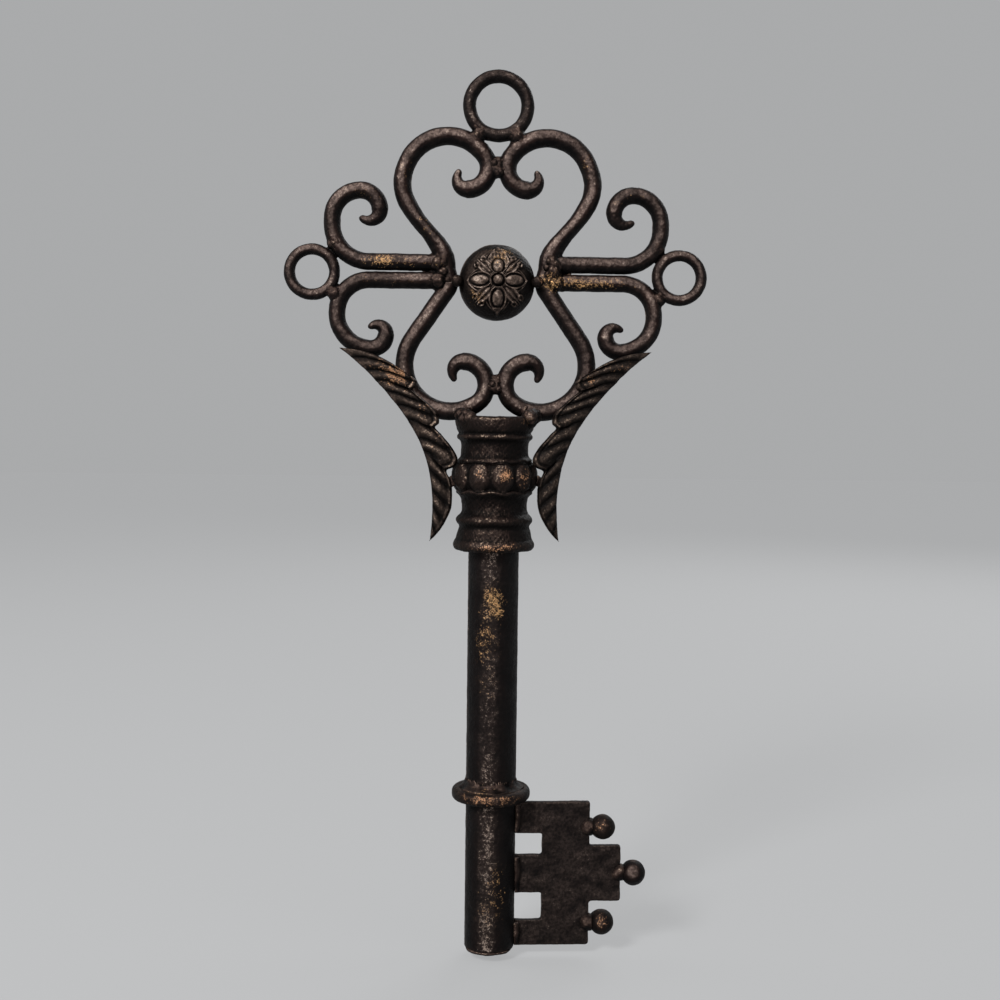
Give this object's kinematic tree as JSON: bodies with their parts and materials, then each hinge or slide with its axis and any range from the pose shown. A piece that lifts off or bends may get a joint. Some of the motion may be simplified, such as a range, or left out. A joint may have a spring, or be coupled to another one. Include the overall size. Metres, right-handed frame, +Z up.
{
  "type": "decorative wall key",
  "caption": "Large ornamental wall key: scrolled bow with hanging eye and domed rosette, turned collar with leaf brackets, tube shaft and a cut plate bit with ball finials.",
  "frame": {"origin": "centre of the hanging ring at the top", "axes": "+Z up along the shaft's axis towards the hanging ring, -Y out of the front with the rosette, +X towards the bit"},
  "size_m": [0.2104, 0.0434, 0.4413],
  "materials": {
    "dark_iron": "dark waxed iron, matt",
    "brown_iron": "oil-rubbed brown, satin on the edges",
    "rubbed_copper": "dark brown with copper-coloured rubbing on the raised parts",
    "weld": "dark brown, lumpy"
  },
  "bodies": {
    "root": {"hanging_ring": "dark_iron", "ring_left": "dark_iron", "ring_right": "dark_iron", "upper_scroll_left": "brown_iron", "upper_scroll_right": "brown_iron", "lower_scroll_left": "dark_iron", "lower_scroll_right": "dark_iron", "side_upper_scroll_left": "brown_iron", "side_upper_scroll_right": "brown_iron", "side_lower_scroll_left": "dark_iron", "side_lower_scroll_right": "dark_iron", "rosette_dome": "brown_iron", "rosette_bead_left": "brown_iron", "rosette_bead_right": "brown_iron", "leaf_left": "rubbed_copper", "leaf_right": "rubbed_copper", "collar": "brown_iron", "shaft_tube": "dark_iron", "shaft_end_cap": "dark_iron", "shaft_ring": "rubbed_copper", "bit_plate": "dark_iron", "bit_ball_top": "rubbed_copper", "bit_ball_middle": "brown_iron", "bit_ball_bottom": "rubbed_copper", "ring_welds": "weld", "curl_welds": "weld", "hub_welds": "weld", "collar_welds": "weld", "leaf_welds": "weld", "shaft_ring_weld": "weld", "end_cap_weld": "weld", "bit_welds": "weld", "ball_welds": "weld"}
  },
  "joints": []
}
